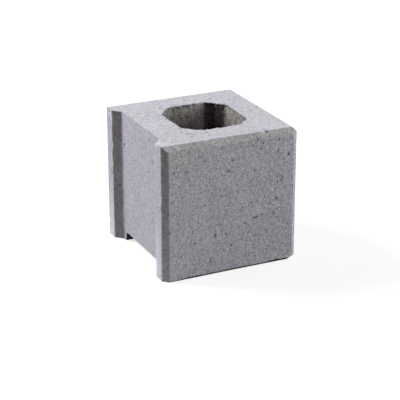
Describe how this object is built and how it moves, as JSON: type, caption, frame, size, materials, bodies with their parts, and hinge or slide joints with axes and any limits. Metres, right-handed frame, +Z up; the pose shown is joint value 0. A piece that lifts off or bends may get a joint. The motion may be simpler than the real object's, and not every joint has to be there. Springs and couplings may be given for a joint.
{
  "type": "concrete block",
  "caption": "Half-length hollow concrete block: bevelled edges, a grooved end, a vertical core and a low channel under the grooved end.",
  "frame": {"origin": "middle of the block's bed face, on the floor it stands on", "axes": "+Z up, -X towards the grooved end, +X towards the plain end, -Y towards the front face"},
  "size_m": [0.2, 0.2, 0.19],
  "materials": {
    "concrete": "matt, fine-grained"
  },
  "bodies": {
    "root": {"concrete_block": "concrete"}
  },
  "joints": []
}
